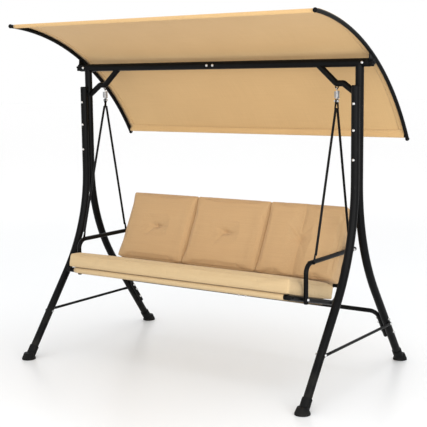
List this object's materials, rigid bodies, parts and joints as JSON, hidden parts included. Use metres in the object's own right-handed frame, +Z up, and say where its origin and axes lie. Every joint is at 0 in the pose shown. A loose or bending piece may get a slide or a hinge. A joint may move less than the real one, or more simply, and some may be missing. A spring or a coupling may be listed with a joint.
{
  "type": "canopy swing bench",
  "caption": "Garden swing bench for several people: a cushioned sling seat hung on springs from a tubular steel stand, under a tilting fabric canopy.",
  "frame": {"origin": "on the floor, mid-way between the four feet", "axes": "+X along the bench to the sitter's left, +Y from front to back, +Z up; the bench faces -Y"},
  "size_m": [1.8108, 1.106, 1.7517],
  "materials": {
    "frame_black": "satin black powder coat on steel tube",
    "black_plastic": "moulded black plastic",
    "bolt_steel": "zinc plated",
    "bolt_black": "black passivated steel",
    "spring_steel": "bright zinc plated spring wire",
    "canopy_fabric": "woven polyester, sand colour",
    "sling_fabric": "plain woven sling, sand colour",
    "cushion_fabric": "woven polyester covers, padded, sand colour"
  },
  "bodies": {
    "stand": {"bar_bolts": "bolt_steel", "bar_end_plug_left": "frame_black", "bar_end_plug_right": "frame_black", "bar_sleeve": "frame_black", "crossbar_bolts": "bolt_steel", "crossbar_left": "frame_black", "crossbar_right": "frame_black", "crossbar_sleeve": "frame_black", "foot_front_left": "black_plastic", "foot_front_right": "black_plastic", "foot_rear_left": "black_plastic", "foot_rear_right": "black_plastic", "front_leg_caps": "black_plastic", "front_leg_left": "frame_black", "front_leg_right": "frame_black", "knee_brace_left": "frame_black", "knee_brace_right": "frame_black", "leg_bolts": "bolt_steel", "rear_leg_left": "frame_black", "rear_leg_right": "frame_black", "side_brace_bolts": "bolt_steel", "side_brace_left": "frame_black", "side_brace_right": "frame_black", "stand_nuts": "bolt_steel", "top_bar_left": "frame_black", "top_bar_right": "frame_black"},
    "springs": {"spring_left": "spring_steel", "spring_right": "spring_steel"},
    "hangers": {"hanger_bolts": "bolt_steel"},
    "seat": {"armrest_bolts": "bolt_steel", "armrest_left": "frame_black", "armrest_right": "frame_black", "back_cushion_left": "cushion_fabric", "back_cushion_middle": "cushion_fabric", "back_cushion_right": "cushion_fabric", "back_lower_rail": "frame_black", "back_sling": "sling_fabric", "back_top_rail": "frame_black", "front_rod_left": "frame_black", "front_rod_right": "frame_black", "rail_screws": "bolt_black", "rear_rod_left": "frame_black", "rear_rod_right": "frame_black", "rod_bolts": "bolt_black", "seat_cushion": "cushion_fabric", "seat_front_rail": "frame_black", "seat_rear_rail": "frame_black", "seat_sling": "sling_fabric", "seat_tube_caps": "black_plastic", "side_frame_left": "frame_black", "side_frame_right": "frame_black"},
    "canopy": {"canopy_arc_left": "frame_black", "canopy_arc_right": "frame_black", "canopy_front_tube": "frame_black", "canopy_rear_tube": "frame_black", "canopy_fabric": "canopy_fabric", "arc_end_caps": "black_plastic"},
    "knob_left": {"clamp_knob_left": "black_plastic"},
    "knob_right": {"clamp_knob_right": "black_plastic"}
  },
  "joints": [
    {"name": "hook_swing", "type": "hinge", "parent": "stand", "child": "springs", "pos_m": [0, 0.0202, 1.411], "axis": [1, 0, 0], "range_deg": [-12, 12]},
    {"name": "spring_stretch", "type": "slide", "parent": "springs", "child": "hangers", "axis": [0, 0, -1], "range_m": [0, 0.02], "stiffness_N_per_m": 60000, "springref_m": -0.009, "deforming": ["spring_left", "spring_right"]},
    {"name": "hanger_rock", "type": "hinge", "parent": "hangers", "child": "seat", "pos_m": [0, 0.0202, 1.353], "axis": [1, 0, 0], "range_deg": [-8, 8]},
    {"name": "canopy_tilt", "type": "hinge", "parent": "stand", "child": "canopy", "pos_m": [0, 0.0202, 1.53], "axis": [1, 0, 0], "range_deg": [-10, 60]},
    {"name": "knob_turn_left", "type": "hinge", "parent": "stand", "child": "knob_left", "pos_m": [-0.894, 0.0202, 1.53], "axis": [-1, 0, 0], "range_deg": [0, 180]},
    {"name": "knob_turn_right", "type": "hinge", "parent": "stand", "child": "knob_right", "pos_m": [0.894, 0.0202, 1.53], "axis": [1, 0, 0], "range_deg": [0, 180]}
  ]
}
